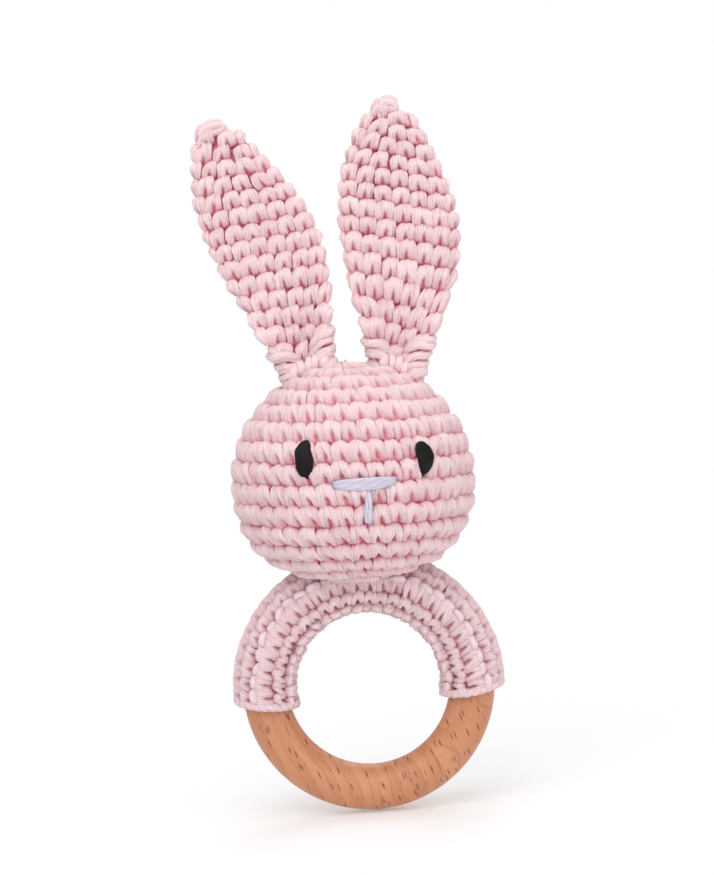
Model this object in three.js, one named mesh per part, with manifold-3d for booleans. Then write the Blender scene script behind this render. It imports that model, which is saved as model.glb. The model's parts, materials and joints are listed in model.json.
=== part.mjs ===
// Crocheted bunny rattle sewn on a wooden teething ring.
//
// Millimetres. +Z runs up through the ears, +Y points to the back of the toy, and +X to the viewer's right.
// The origin is the lowest point of the ring's rim, so the toy stands on the plane z = 0.

import * as THREE from "three";
import { mergeVertices } from "three/addons/utils/BufferGeometryUtils.js";
import Module from "manifold-3d";

const wasm = await Module();
wasm.setup();

const { degToRad } = THREE.MathUtils;

// ---- Driving dimensions ------------------------------------------------------------------------------------------

const GAP = 0.3; // clearance between neighbouring pieces

// Turned wooden ring: a round bar bent into a ring, with narrow flats all round its section.
const RING_OUTER_R = 30;
const BAR_R = 5.4;
const RING_SEGMENTS = 48;
const BAR_SIDES = 16;

// Crocheted sleeve around the upper part of the ring.
const SLEEVE_INNER_R = 5.95;
const SLEEVE_OUTER_R = 7.9;
const SLEEVE_HALF_ARC = degToRad(98.5);
const SLEEVE_STEPS = 30;
const SLEEVE_SIDES = 18;

// Thread that closes the sleeve along its back inner edge.
const SEAM_R = 0.7;
const SEAM_HALF_ARC = degToRad(94);
const SEAM_TURN = degToRad(45); // how far the seam sits behind the ring's inner side

// Stuffed head: round in plan, a half ellipse above its widest row and a fuller, flatter curve below it.
const HEAD_R = 29.2;
const HEAD_TOP = 28.2;
const HEAD_BOTTOM = 24.8;
const HEAD_BOTTOM_FULLNESS = 2.4; // exponent of the lower curve: 2 is an ellipse, more is squarer
const HEAD_ABOVE_RING_CENTRE = 49;
const HEAD_SEGMENTS = 32;
const HEAD_ROWS = 18;
const SHELL_THICKNESS = 2.6;
const NECK_OPENING_R = 7;

// The head nods on the sleeve, so its underside is dished wider than the sleeve.
const NOD_LIMIT = 10; // degrees each way
const NOD_STEPS = 2;
const DISH_R = SLEEVE_OUTER_R + 0.5;
const DISH_HALF_ARC = degToRad(62);
const DISH_STEPS = 12;
const DISH_SIDES = 12;

// Thread that sews the head to the sleeve, inside the neck opening.
const NECK_LOOP_R = 4;
const THREAD_R = 0.6;

// Rattle capsule in the middle of the head, two snap-together halves, with loose beads in it.
const CAPSULE_OUTER_R = 13;
const CAPSULE_WALL = 1.5;
const CAPSULE_LIP = 2.4; // height of the lower half's lip inside the upper half
const CAPSULE_SEGMENTS = 24;
const CAPSULE_ROWS = 8;
const BEAD_R = 2;
const BEAD_COUNT = 6;
const BEAD_CIRCLE_R = 5.5;

// Ears: flat crocheted blades on short gathered roots.
const EAR_ROOT_HEIGHT = 3.3; // pivot above the head's surface
const EAR_ROOT_R = 2.6;
const EAR_ROOT_SHIFT = 3; // from the pivot to the start of the blade
const EAR_BASE_HALF_WIDTH = 4.6;
const EAR_WIDEST_AT = 0.5; // of the blade's length
const EAR_BOW = 2; // how far the blade's lower part bows to the right
const EAR_HALF_DEPTH = 2.8;
const EAR_SIDES = 20;
const EAR_ROWS = 18;
const EARS = {
  left: { x: -9.6, lean: degToRad(-17.5), length: 63.5, halfWidth: 13.4 },
  right: { x: 12.5, lean: degToRad(2.4), length: 64.6, halfWidth: 14.8 },
};

// Embroidered face. Each patch lies on the head at an azimuth from the front and a height above the widest row.
const STITCH_HALF_DEPTH = 0.5;
const FACE = {
  eye_left: { azimuth: degToRad(-21.8), height: 6.6, halfWidth: 2.4, halfHeight: 4.5 },
  eye_right: { azimuth: degToRad(35.5), height: 4.4, halfWidth: 2.4, halfHeight: 4.3 },
  nose_stitch: { azimuth: degToRad(5.6), height: 0.45, halfWidth: 7.8, halfHeight: 1.4 },
  mouth_stitch: { azimuth: degToRad(6.1), height: -4.7, halfWidth: 0.9, halfHeight: 3.4 },
};

// ---- Derived places ----------------------------------------------------------------------------------------------

const BAR_CENTRE_R = RING_OUTER_R - BAR_R;
const RING_Z = RING_OUTER_R;
const HEAD_Z = RING_Z + HEAD_ABOVE_RING_CENTRE;
const NOD_Z = RING_Z + BAR_CENTRE_R;

// ---- Materials ---------------------------------------------------------------------------------------------------

function material(name, color, roughness) {
  return new THREE.MeshStandardMaterial({ name, color, roughness, metalness: 0 });
}

const beech = material("beech", 0xc8875f, 0.45);
const pinkYarn = material("pink_yarn", 0xebc8cd, 0.95);
const blackThread = material("black_thread", 0x1c1b1f, 0.6);
const lilacThread = material("lilac_thread", 0xe4def4, 0.6);
const fibreFill = material("fibre_fill", 0xf4f2ee, 1);
const capsulePlastic = material("capsule_plastic", 0xf0f0ec, 0.35);
const beadPlastic = material("bead_plastic", 0x9fb8d8, 0.3);

// ---- Geometry helpers --------------------------------------------------------------------------------------------

// An arc in the ring's plane, centred on the ring and symmetrical about its top.
class RingArc extends THREE.Curve {
  constructor(radius, halfArc, y = 0) {
    super();
    this.radius = radius;
    this.halfArc = halfArc;
    this.y = y;
  }

  getPoint(t, target = new THREE.Vector3()) {
    const angle = (2 * t - 1) * this.halfArc;
    return target.set(this.radius * Math.sin(angle), this.y, this.radius * Math.cos(angle));
  }
}

// A round bar, or a tube when innerR is given, along a curve, closed at both ends.
function barAlong(curve, steps, sides, outerR, innerR = 0) {
  const section = new THREE.Shape().absarc(0, 0, outerR, 0, 2 * Math.PI);
  if (innerR > 0) {
    section.holes.push(new THREE.Path().absarc(0, 0, innerR, 0, 2 * Math.PI, true));
  }
  const curveSegments = sides / 2; // a full circle is drawn with twice this many sides
  return new THREE.ExtrudeGeometry(section, { steps, curveSegments, extrudePath: curve });
}

// Moves every vertex to place(vertex), which changes the vector it is given.
function reshape(geometry, place) {
  const position = geometry.attributes.position;
  const vertex = new THREE.Vector3();
  for (let i = 0; i < position.count; i += 1) {
    place(vertex.fromBufferAttribute(position, i));
    position.setXYZ(i, vertex.x, vertex.y, vertex.z);
  }
  geometry.computeVertexNormals();
  return geometry;
}

function ballWithUprightPoles(sides, rows) {
  return new THREE.SphereGeometry(1, sides, rows).rotateX(Math.PI / 2);
}

function toSolid(geometry) {
  const bare = geometry.clone();
  bare.deleteAttribute("normal");
  bare.deleteAttribute("uv");
  const merged = mergeVertices(bare, 1e-4);
  const vertProperties = merged.attributes.position.array;
  const triVerts = Uint32Array.from(merged.index.array);
  return new wasm.Manifold(new wasm.Mesh({ numProp: 3, vertProperties, triVerts }));
}

function toGeometry(solid) {
  const { vertProperties, triVerts } = solid.getMesh();
  const geometry = new THREE.BufferGeometry();
  geometry.setAttribute("position", new THREE.BufferAttribute(vertProperties, 3));
  geometry.setIndex(new THREE.BufferAttribute(triVerts, 1));
  geometry.computeVertexNormals();
  return geometry;
}

function unionOf(solids) {
  return solids.reduce((joined, solid) => joined.add(solid));
}

// ---- Head shape --------------------------------------------------------------------------------------------------

// The head's outer form moved outwards by offset, about the head's centre.
function headForm(offset) {
  return reshape(ballWithUprightPoles(HEAD_SEGMENTS, HEAD_ROWS), (v) => {
    const level = Math.hypot(v.x, v.y);
    const power = v.z < 0 ? 2 / HEAD_BOTTOM_FULLNESS : 1;
    const height = (v.z < 0 ? HEAD_BOTTOM : HEAD_TOP) + offset;
    const radius = (HEAD_R + offset) * (level > 1e-6 ? level ** (power - 1) : 0);
    v.set(v.x * radius, v.y * radius, Math.sign(v.z) * height * Math.abs(v.z) ** power);
  });
}

// The head's radius at a height above its widest row.
function headRadiusAt(height) {
  const fullness = height < 0 ? HEAD_BOTTOM_FULLNESS : 2;
  const reach = height < 0 ? HEAD_BOTTOM : HEAD_TOP;
  return HEAD_R * (1 - (Math.abs(height) / reach) ** fullness) ** (1 / fullness);
}

// The space that the sleeve sweeps through the head's underside as the head nods, with the given clearance radius,
// about the head's centre.
function sleeveSweep(radius) {
  const turns = Array.from({ length: NOD_STEPS + 1 }, (_, i) => ((2 * i) / NOD_STEPS - 1) * NOD_LIMIT);
  const arc = new RingArc(BAR_CENTRE_R, DISH_HALF_ARC);
  return unionOf(
    turns.map((turn) => {
      const bar = barAlong(arc, DISH_STEPS, DISH_SIDES, radius);
      bar.translate(0, 0, -BAR_CENTRE_R);
      bar.rotateX(degToRad(turn));
      bar.translate(0, 0, NOD_Z - HEAD_Z);
      return toSolid(bar);
    }),
  );
}

function headShell() {
  const hollow = toSolid(headForm(-SHELL_THICKNESS)).subtract(sleeveSweep(DISH_R + SHELL_THICKNESS));
  const openingHeight = 12;
  const opening = new THREE.CylinderGeometry(NECK_OPENING_R, NECK_OPENING_R, openingHeight, 24);
  opening.rotateX(Math.PI / 2);
  opening.translate(0, 0, NOD_Z + DISH_R - HEAD_Z);
  const skin = toSolid(headForm(0)).subtract(sleeveSweep(DISH_R));
  return toGeometry(skin.subtract(hollow).subtract(toSolid(opening)));
}

// A wad of filling: half of the head's hollow, dished around the capsule. side is +1 for the upper wad.
function stuffing(side) {
  const blockSize = 4 * HEAD_R;
  const block = new THREE.BoxGeometry(blockSize, blockSize, blockSize);
  block.translate(0, 0, side * (blockSize / 2 + GAP / 2));
  const dish = new THREE.SphereGeometry(CAPSULE_OUTER_R + 2 * GAP, CAPSULE_SEGMENTS, 2 * CAPSULE_ROWS);
  let wad = toSolid(headForm(-SHELL_THICKNESS - GAP));
  wad = wad.subtract(sleeveSweep(DISH_R + SHELL_THICKNESS + GAP));
  wad = wad.intersect(toSolid(block)).subtract(toSolid(dish));
  return toGeometry(wad);
}

// ---- Rattle ------------------------------------------------------------------------------------------------------

function arcPoints(radius, fromAngle, toAngle, rows) {
  return Array.from({ length: rows + 1 }, (_, i) => {
    const angle = fromAngle + ((toAngle - fromAngle) * i) / rows;
    return new THREE.Vector2(Math.max(0, radius * Math.cos(angle)), radius * Math.sin(angle));
  });
}

// The lower half: a cup whose rim is thinned to a lip that stands up inside the upper half.
function capsuleLower() {
  const innerR = CAPSULE_OUTER_R - CAPSULE_WALL;
  const lipOuterR = CAPSULE_OUTER_R - CAPSULE_WALL / 2 - GAP / 2;
  const outside = arcPoints(CAPSULE_OUTER_R, -Math.PI / 2, 0, CAPSULE_ROWS);
  const lip = [
    new THREE.Vector2(lipOuterR, 0),
    new THREE.Vector2(lipOuterR - 0.3, CAPSULE_LIP),
    new THREE.Vector2(innerR - 0.4, CAPSULE_LIP),
  ];
  const inside = arcPoints(innerR, 0, -Math.PI / 2, CAPSULE_ROWS);
  return latheUpright([...outside, ...lip, ...inside]);
}

// The upper half: a cap whose rim is rebated on the inside to pass over the lip.
function capsuleUpper() {
  const innerR = CAPSULE_OUTER_R - CAPSULE_WALL;
  const rebateR = CAPSULE_OUTER_R - CAPSULE_WALL / 2 + GAP / 2;
  const rebateTop = CAPSULE_LIP + GAP;
  const startAngle = Math.asin(rebateTop / innerR);
  const inside = arcPoints(innerR, Math.PI / 2, startAngle, CAPSULE_ROWS);
  const rebate = [
    new THREE.Vector2(rebateR - 0.3, rebateTop),
    new THREE.Vector2(rebateR, GAP),
  ];
  const outside = arcPoints(CAPSULE_OUTER_R, Math.asin(GAP / CAPSULE_OUTER_R), Math.PI / 2, CAPSULE_ROWS);
  return latheUpright([...inside, ...rebate, ...outside]);
}

function latheUpright(profile) {
  return new THREE.LatheGeometry(profile, CAPSULE_SEGMENTS).rotateX(Math.PI / 2);
}

function beadPlace(index) {
  const angle = (2 * Math.PI * (index + 0.5)) / BEAD_COUNT;
  const reach = CAPSULE_OUTER_R - CAPSULE_WALL - BEAD_R - GAP;
  const drop = Math.sqrt(reach ** 2 - BEAD_CIRCLE_R ** 2);
  return new THREE.Vector3(BEAD_CIRCLE_R * Math.cos(angle), BEAD_CIRCLE_R * Math.sin(angle), -drop);
}

// ---- Ring and sleeve ---------------------------------------------------------------------------------------------

// The bar's section is a regular polygon with flats facing straight up, down, in and out. Both polygons are drawn
// around their circles, so the rim's lowest facet lies exactly at the ring's outer radius.
function woodenRing() {
  const cornerR = BAR_R / Math.cos(Math.PI / BAR_SIDES);
  const section = Array.from({ length: BAR_SIDES + 1 }, (_, i) => {
    const angle = (2 * Math.PI * (i + 0.5)) / BAR_SIDES;
    const radius = (BAR_CENTRE_R + cornerR * Math.cos(angle)) / Math.cos(Math.PI / RING_SEGMENTS);
    return new THREE.Vector2(radius, cornerR * Math.sin(angle));
  });
  return new THREE.LatheGeometry(section, RING_SEGMENTS, Math.PI / RING_SEGMENTS);
}

function ringSleeve() {
  const arc = new RingArc(BAR_CENTRE_R, SLEEVE_HALF_ARC);
  return barAlong(arc, SLEEVE_STEPS, SLEEVE_SIDES, SLEEVE_OUTER_R, SLEEVE_INNER_R);
}

function sleeveSeam() {
  const reach = SLEEVE_OUTER_R + GAP + SEAM_R;
  const radius = BAR_CENTRE_R - reach * Math.cos(SEAM_TURN);
  const arc = new RingArc(radius, SEAM_HALF_ARC, reach * Math.sin(SEAM_TURN));
  return barAlong(arc, 24, 6, SEAM_R);
}

// ---- Ears --------------------------------------------------------------------------------------------------------

// Half the blade's width at a fraction of its length: it swells smoothly from the base, then runs to a round tip.
function earHalfWidth(t, widest) {
  if (t < EAR_WIDEST_AT) {
    const swell = Math.sin((Math.PI / 2) * (t / EAR_WIDEST_AT)) ** 1.2;
    return EAR_BASE_HALF_WIDTH + (widest - EAR_BASE_HALF_WIDTH) * swell;
  }
  const u = (t - EAR_WIDEST_AT) / (1 - EAR_WIDEST_AT);
  return widest * (1 - u ** 2) ** 0.75;
}

// The sideways place of the blade's middle line at a fraction of its length.
function earBow(t) {
  return EAR_BOW * Math.sin(Math.PI * Math.min(t / 0.75, 1));
}

// A blade that starts above the pivot at the local origin and runs up local +Z.
function earBlade(ear) {
  const bladeLength = ear.length - EAR_ROOT_HEIGHT - EAR_ROOT_SHIFT;
  return reshape(ballWithUprightPoles(EAR_SIDES, EAR_ROWS), (v) => {
    const t = (v.z + 1) / 2;
    const level = Math.hypot(v.x, v.y);
    const fold = level > 1e-6 ? Math.min(1, level / 0.6) / level : 0;
    v.set(
      v.x * fold * earHalfWidth(t, ear.halfWidth) + earBow(t),
      v.y * fold * EAR_HALF_DEPTH,
      EAR_ROOT_SHIFT + t * bladeLength,
    );
  });
}

// ---- Face --------------------------------------------------------------------------------------------------------

// A low pad of satin stitches, curved to the head and just clear of it, about the head's centre.
function facePatch({ azimuth, height, halfWidth, halfHeight }) {
  return reshape(ballWithUprightPoles(16, 10), (v) => {
    const level = height + v.z * halfHeight;
    const radius = headRadiusAt(level);
    const turn = azimuth + (v.x * halfWidth) / radius;
    const reach = radius + 2 * GAP + STITCH_HALF_DEPTH * (1 - v.y);
    v.set(reach * Math.sin(turn), -reach * Math.cos(turn), level);
  });
}

// ---- Assembly ----------------------------------------------------------------------------------------------------

function piece(name, geometry, finish, parent) {
  const mesh = new THREE.Mesh(geometry, finish);
  mesh.name = name;
  parent.add(mesh);
  return mesh;
}

const toy = new THREE.Group();

const ring = new THREE.Group();
ring.position.z = RING_Z;
toy.add(ring);
piece("wooden_ring", woodenRing(), beech, ring);
piece("ring_sleeve", ringSleeve(), pinkYarn, ring);
piece("sleeve_seam", sleeveSeam(), pinkYarn, ring);
const neckLoop = new THREE.TorusGeometry(NECK_LOOP_R, THREAD_R, 6, 24);
const neck = piece("neck_stitching", neckLoop, pinkYarn, ring);
neck.position.z = BAR_CENTRE_R + SLEEVE_OUTER_R + GAP + THREAD_R;

const head = new THREE.Group();
head.position.z = HEAD_Z;
toy.add(head);
piece("head_shell", headShell(), pinkYarn, head);
piece("stuffing_lower", stuffing(-1), fibreFill, head);
piece("stuffing_upper", stuffing(1), fibreFill, head);
piece("rattle_capsule_lower", capsuleLower(), capsulePlastic, head);
piece("rattle_capsule_upper", capsuleUpper(), capsulePlastic, head);
for (let i = 0; i < BEAD_COUNT; i += 1) {
  const bead = piece(`rattle_bead_${i + 1}`, new THREE.IcosahedronGeometry(BEAD_R, 1), beadPlastic, head);
  bead.position.copy(beadPlace(i));
}
for (const [name, patch] of Object.entries(FACE)) {
  piece(name, facePatch(patch), name.startsWith("eye") ? blackThread : lilacThread, head);
}

for (const [side, ear] of Object.entries(EARS)) {
  const surface = HEAD_TOP * Math.sqrt(1 - (ear.x / HEAD_R) ** 2);
  const root = new THREE.Group();
  root.position.set(ear.x, 0, surface + EAR_ROOT_HEIGHT);
  root.rotation.y = ear.lean;
  head.add(root);
  piece(`ear_${side}`, earBlade(ear), pinkYarn, root);
  piece(`ear_${side}_stitching`, new THREE.SphereGeometry(EAR_ROOT_R, 12, 8), pinkYarn, root);
}

export default toy;
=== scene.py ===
"""Looks of a crocheted rabbit rattle on a wooden teething ring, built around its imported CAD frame.

Everything is in metres in the CAD frame: +Z up through the ears, the face towards -Y, and the ring's rim at
the origin. Crochet is real geometry, laid stitch by stitch on surfaces that follow the CAD solids.
"""

import json
import math

import bmesh
import bpy
import numpy as np
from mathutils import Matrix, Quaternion, Vector, noise


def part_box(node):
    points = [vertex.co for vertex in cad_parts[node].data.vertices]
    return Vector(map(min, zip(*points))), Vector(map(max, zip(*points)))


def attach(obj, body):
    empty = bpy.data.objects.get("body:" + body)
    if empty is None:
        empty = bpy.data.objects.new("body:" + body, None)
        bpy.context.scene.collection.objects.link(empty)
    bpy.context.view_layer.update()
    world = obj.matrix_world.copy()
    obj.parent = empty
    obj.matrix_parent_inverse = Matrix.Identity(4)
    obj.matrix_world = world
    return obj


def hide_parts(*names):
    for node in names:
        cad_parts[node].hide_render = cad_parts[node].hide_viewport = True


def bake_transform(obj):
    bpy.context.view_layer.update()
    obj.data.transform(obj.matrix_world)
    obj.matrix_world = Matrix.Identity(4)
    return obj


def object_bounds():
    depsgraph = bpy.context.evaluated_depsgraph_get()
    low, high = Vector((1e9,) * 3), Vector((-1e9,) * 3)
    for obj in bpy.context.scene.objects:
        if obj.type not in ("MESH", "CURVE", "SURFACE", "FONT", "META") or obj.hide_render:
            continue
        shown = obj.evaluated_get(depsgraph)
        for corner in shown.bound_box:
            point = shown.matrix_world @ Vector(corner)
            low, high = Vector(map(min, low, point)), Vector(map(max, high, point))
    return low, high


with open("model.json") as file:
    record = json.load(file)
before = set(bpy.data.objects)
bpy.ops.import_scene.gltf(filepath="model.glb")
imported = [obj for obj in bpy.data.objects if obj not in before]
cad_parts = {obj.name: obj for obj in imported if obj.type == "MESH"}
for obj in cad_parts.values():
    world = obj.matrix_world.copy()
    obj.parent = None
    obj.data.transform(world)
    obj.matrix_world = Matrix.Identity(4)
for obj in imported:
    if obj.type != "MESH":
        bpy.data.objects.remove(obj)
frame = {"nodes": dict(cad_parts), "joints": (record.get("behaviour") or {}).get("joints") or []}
CAD_BOX = [list(corner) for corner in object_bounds()]
NODES = frame["nodes"]
JOINTS = {joint["name"]: joint for joint in frame["joints"]}
RNG = np.random.default_rng(7)
MM = 0.001


# ---- Places and sizes ----

def node_box(name):
    low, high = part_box(name)
    return np.array(low), np.array(high)


RING_LOW, RING_HIGH = node_box("wooden_ring")
RING_CENTRE = (RING_LOW + RING_HIGH) / 2
RING_OUTER_R = RING_CENTRE[2] - RING_LOW[2]
BAR_R = 5.4 * MM
BAR_CENTRE_R = RING_OUTER_R - BAR_R

SLEEVE_LOW, SLEEVE_HIGH = node_box("ring_sleeve")
SLEEVE_R = (SLEEVE_HIGH[1] - SLEEVE_LOW[1]) / 2
SLEEVE_HALF_ARC = math.radians(98.5)

# The head is measured from its widest row, at HEAD_Z. Its cloth stays SEAT_CLEARANCE away from the sleeve.
HEAD_LOW, HEAD_HIGH = node_box("head_shell")
HEAD_R = (HEAD_HIGH[0] - HEAD_LOW[0]) / 2
HEAD_Z = RING_CENTRE[2] + 49 * MM
HEAD_TOP = HEAD_HIGH[2] - HEAD_Z
HEAD_BOTTOM = 24.8 * MM
SEAT_CLEARANCE = 1.9 * MM
SEAT_SOFTNESS = 1.2 * MM

# A CAD solid's surface is at the tops of the stitches, which are laid on a surface this far inside it.
YARN_PROUD = 1.75 * MM
SLEEVE_YARN_PROUD = 0.9 * YARN_PROUD

# The yarn: half its thickness, its plies, and its twist in radians per millimetre. A squareness below 1
# squares its section, as in yarn that its neighbours press on.
YARN_R = 1.02 * MM
PLIES = 6
TWIST = 0.3
SQUARENESS = 0.75


# ---- Maths ----

def unit(v):
    return v / np.maximum(np.linalg.norm(v, axis=-1, keepdims=True), 1e-12)


def stacked(*parts):
    """Arrays as the parts of vectors, along a new last axis."""
    return np.stack(np.broadcast_arrays(*parts), axis=-1)


def smooth_step(x, low, high):
    t = np.clip((x - low) / (high - low), 0, 1)
    return t * t * (3 - 2 * t)


def through(x, knots, values):
    """A smooth curve through the knots, read at x."""
    knots, values = np.asarray(knots, float), np.asarray(values, float)
    slope = np.gradient(values, knots)
    i = np.clip(np.searchsorted(knots, x, side="right") - 1, 0, len(knots) - 2)
    span = knots[i + 1] - knots[i]
    t = np.clip((x - knots[i]) / span, 0, 1)
    return ((2 * t ** 3 - 3 * t ** 2 + 1) * values[i] + (t ** 3 - 2 * t ** 2 + t) * span * slope[i]
            + (3 * t ** 2 - 2 * t ** 3) * values[i + 1] + (t ** 3 - t ** 2) * span * slope[i + 1])


def turned_about_y(points, angle):
    """Turns points about +Y, so that +Z leans towards +X for a positive angle."""
    c, s = math.cos(angle), math.sin(angle)
    x, y, z = points[..., 0], points[..., 1], points[..., 2]
    return stacked(x * c + z * s, y, -x * s + z * c)


# ---- Meshes ----

def linked_object(name, data):
    obj = bpy.data.objects.new(name, data)
    bpy.context.scene.collection.objects.link(obj)
    return obj


def mesh_object(name, verts, corners, counts, attributes=None, smooth=True):
    """A mesh object. corners lists the vertices of all faces end to end, counts says how many each face has,
    and attributes are named vectors on the vertices."""
    mesh = bpy.data.meshes.new(name)
    mesh.vertices.add(len(verts))
    mesh.vertices.foreach_set("co", np.asarray(verts, np.float32).ravel())
    mesh.loops.add(len(corners))
    mesh.loops.foreach_set("vertex_index", np.asarray(corners, np.int32))
    mesh.polygons.add(len(counts))
    starts = (np.cumsum(counts) - counts).astype(np.int32)
    mesh.polygons.foreach_set("loop_start", starts)
    mesh.polygons.foreach_set("use_smooth", np.full(len(counts), smooth))
    mesh.update(calc_edges=True)
    for key, values in (attributes or {}).items():
        layer = mesh.attributes.new(key, "FLOAT_VECTOR", "POINT")
        layer.data.foreach_set("vector", np.asarray(values, np.float32).ravel())
    mesh.validate()
    return linked_object(name, mesh)


class Patch:
    """Vertices, faces and attributes that are collected and then made into one object.

    The strand attribute places a vertex in its yarn: two places across it, or one and a shade, and one along
    it. The tone attribute is its height above the cloth in mm, which sets the yarn's painted shade and
    painted highlight, its shade of colour, and whether it is in a crease, which the yarn material darkens as
    painted shade."""

    def __init__(self):
        self.verts, self.strand, self.tone = [], [], []
        self.corners, self.counts = [], []
        self.size = 0

    def add(self, verts, faces, strand, tone):
        """Adds copies of a mesh. verts, strand and tone are (copies, vertices, 3). faces are one copy's."""
        corners, counts = faces
        copies, size, _ = verts.shape
        first = self.size + np.arange(copies)[:, None] * size
        self.corners.append((corners[None, :] + first).ravel())
        self.counts.append(np.tile(counts, copies))
        for kept, new in ((self.verts, verts), (self.strand, strand), (self.tone, tone)):
            kept.append(new.reshape(-1, 3))
        self.size += copies * size

    def build(self, name):
        attributes = {"strand": np.concatenate(self.strand), "tone": np.concatenate(self.tone)}
        return mesh_object(name, np.concatenate(self.verts), np.concatenate(self.corners),
                           np.concatenate(self.counts), attributes)


def tube_faces(rows, columns):
    """Faces of a grid whose rows are closed rings, with the first and last ring filled."""
    grid = np.arange(rows * columns).reshape(rows, columns)
    after = np.roll(grid, -1, axis=1)
    quads = stacked(grid[:-1], after[:-1], after[1:], grid[1:])
    corners = np.concatenate([quads.ravel(), grid[0, ::-1], grid[-1]])
    return corners, np.concatenate([np.full(quads.size // 4, 4), [columns, columns]])


def bowl_faces(rows, columns):
    """Faces of an open grid, and a fan behind it from its edge to one last vertex."""
    grid = np.arange(rows * columns).reshape(rows, columns)
    quads = stacked(grid[:-1, :-1], grid[1:, :-1], grid[1:, 1:], grid[:-1, 1:])
    edge = np.concatenate([grid[:, 0], grid[-1, 1:], grid[-2::-1, -1], grid[0, -2:0:-1]])
    fan = stacked(np.roll(edge, -1), edge, np.full(len(edge), grid.size))
    counts = np.concatenate([np.full(quads.size // 4, 4), np.full(len(fan), 3)])
    return np.concatenate([quads.ravel(), fan.ravel()]), counts


def add_strands(patch, paths, normals, half_width, half_depth, heights, shades):
    """Adds a closed strand of plied yarn along each path.

    paths and normals are (n, k, 3), half_width, half_depth and heights (n, k), and shades (n,). heights is
    how far a path stands above the cloth, which sets how deep in a crevice a vertex counts as being, and so
    how much painted shade the yarn material gives it."""
    n, k, _ = paths.shape
    sides = 3 * PLIES
    tangent = unit(np.gradient(paths, axis=1))
    side = unit(np.cross(tangent, normals))
    out = np.cross(side, tangent)
    step = np.linalg.norm(np.diff(paths, axis=1), axis=2)
    along = np.concatenate([np.zeros((n, 1)), np.cumsum(step, axis=1)], axis=1) / MM
    phase = shades[:, None] * 40
    angle = np.arange(sides) * 2 * math.pi / sides + (along * TWIST + phase)[..., None]
    ca, sa = np.cos(angle), np.sin(angle)
    crease = np.tile([1.0, 0.0, 0.0], PLIES)
    fullness = 1 + np.repeat(RNG.normal(0, 0.035, (n, PLIES)), 3, axis=1)[:, None, :] - 0.15 * crease
    swell = 1 + 0.03 * np.sin(along * 2.1 + phase) + 0.02 * np.sin(along * 5.3 + 2 * phase)
    swell = swell[..., None] * fullness
    wide = half_width[..., None] * (np.sign(ca) * np.abs(ca) ** SQUARENESS * swell)
    deep = half_depth[..., None] * (np.sign(sa) * np.abs(sa) ** SQUARENESS * swell)
    verts = (paths[:, :, None, :] + side[:, :, None, :] * wide[..., None]
             + out[:, :, None, :] * deep[..., None])
    lift = heights[..., None] + deep * np.sum(out * normals, axis=2)[..., None]
    strand = stacked(ca, sa, along[..., None])
    tone = stacked(lift / MM, shades[:, None, None], crease)
    verts, strand, tone = (values.reshape(n, -1, 3) for values in (verts, strand, tone))
    patch.add(verts, tube_faces(k, sides), strand, tone)


def add_strand(patch, path, normals, radius, height, shade):
    """Adds one round strand. path and normals are (k, 3), and radius and height are (k,) or a number."""
    radius, height = (np.broadcast_to(value, len(path))[None] for value in (radius, height))
    add_strands(patch, path[None], normals[None], radius, radius, height, np.array([shade]))


def lay_strand(patch, surface, u, v, radius, lift, shade):
    """Adds one round strand along a line on a surface, lifted off it."""
    points, normals, _ = surface(u, v)
    add_strand(patch, points + normals * lift[:, None], normals, radius, lift, shade)


def add_whip(patch, foot, knee, top, foot_out, top_out, radius, heights):
    """Adds one whip stitch that bends from its foot over a knee to its top. heights are how far it stands
    above the cloth at its ends, and how much more in its middle, in mm."""
    t = np.linspace(0, 1, 15)
    s = t[:, None]
    path = (1 - s) ** 2 * foot + 2 * s * (1 - s) * (2 * knee - (foot + top) / 2) + s ** 2 * top
    facing = unit(foot_out + (top_out - foot_out) * s)
    slim = 1 - 0.3 * np.abs(2 * t - 1) ** 4
    low, rise = heights
    height = (low + rise * np.sin(math.pi * t)) * MM
    add_strand(patch, path, facing, radius * slim, height, RNG.random())


def add_liner(patch, surface, u, v, depth):
    """Adds a closed tube below a surface, so that no light comes through between the stitches. u and v
    are (rows, columns), and each row goes round once."""
    points, normals, _ = surface(u, v)
    verts = (points - normals * depth).reshape(1, -1, 3)
    strand = np.broadcast_to([1.0, 0.0, 0.0], verts.shape)
    # Painted shade: the liner's tone, 0.4 mm below the cloth, gives it the yarn's dark crevice colour in the
    # gaps between stitches.
    tone = np.broadcast_to([-0.4, 0.5, 0.0], verts.shape)
    patch.add(verts, tube_faces(*u.shape), strand, tone)


# ---- Crochet ----

STITCH_WIDTH = 3.9 * MM
ROW_HEIGHT = 4.9 * MM
FEWEST_STITCHES = 5
PLY_RELIEF = 0.24

# The front of a single crochet, from its crown to its feet: height in the cell (cell heights), lift above the
# cloth (mm), how far the plies are gathered under the crown, and how far they have parted into two legs.
FAN = np.array([
    (0.49, -0.6, 1, 0),
    (0.445, 0.66, 1, 0),
    (0.36, 1.12, 0.8, 0),
    (0.24, 1.38, 0.4, 0),
    (0.1, 1.5, 0.1, 0),
    (-0.02, 1.46, 0, 0.1),
    (-0.13, 1.34, 0, 0.38),
    (-0.24, 1.2, 0, 0.76),
    (-0.36, 1.03, 0, 0.95),
    (-0.49, 0.76, 0, 1),
    (-0.62, 0.15, 0, 1),
    (-0.8, -1.1, 0, 1),
])

# The back of a single crochet has a bar across it. Each row is: place along the bar, across (cell widths), up
# (cell heights), lift above the cloth (yarn radii), half width (cell widths) and half depth (yarn radii).
BAR = np.array([
    (0, 0, 0.31, 1, 0.255, 0.95),
    (0.4, 0.18, 0.31, 0.92, 0.25, 0.95),
    (0.75, 0.36, 0.28, 0.4, 0.205, 0.8),
    (1, 0.5, 0.22, -0.6, 0.13, 0.6),
])


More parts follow.
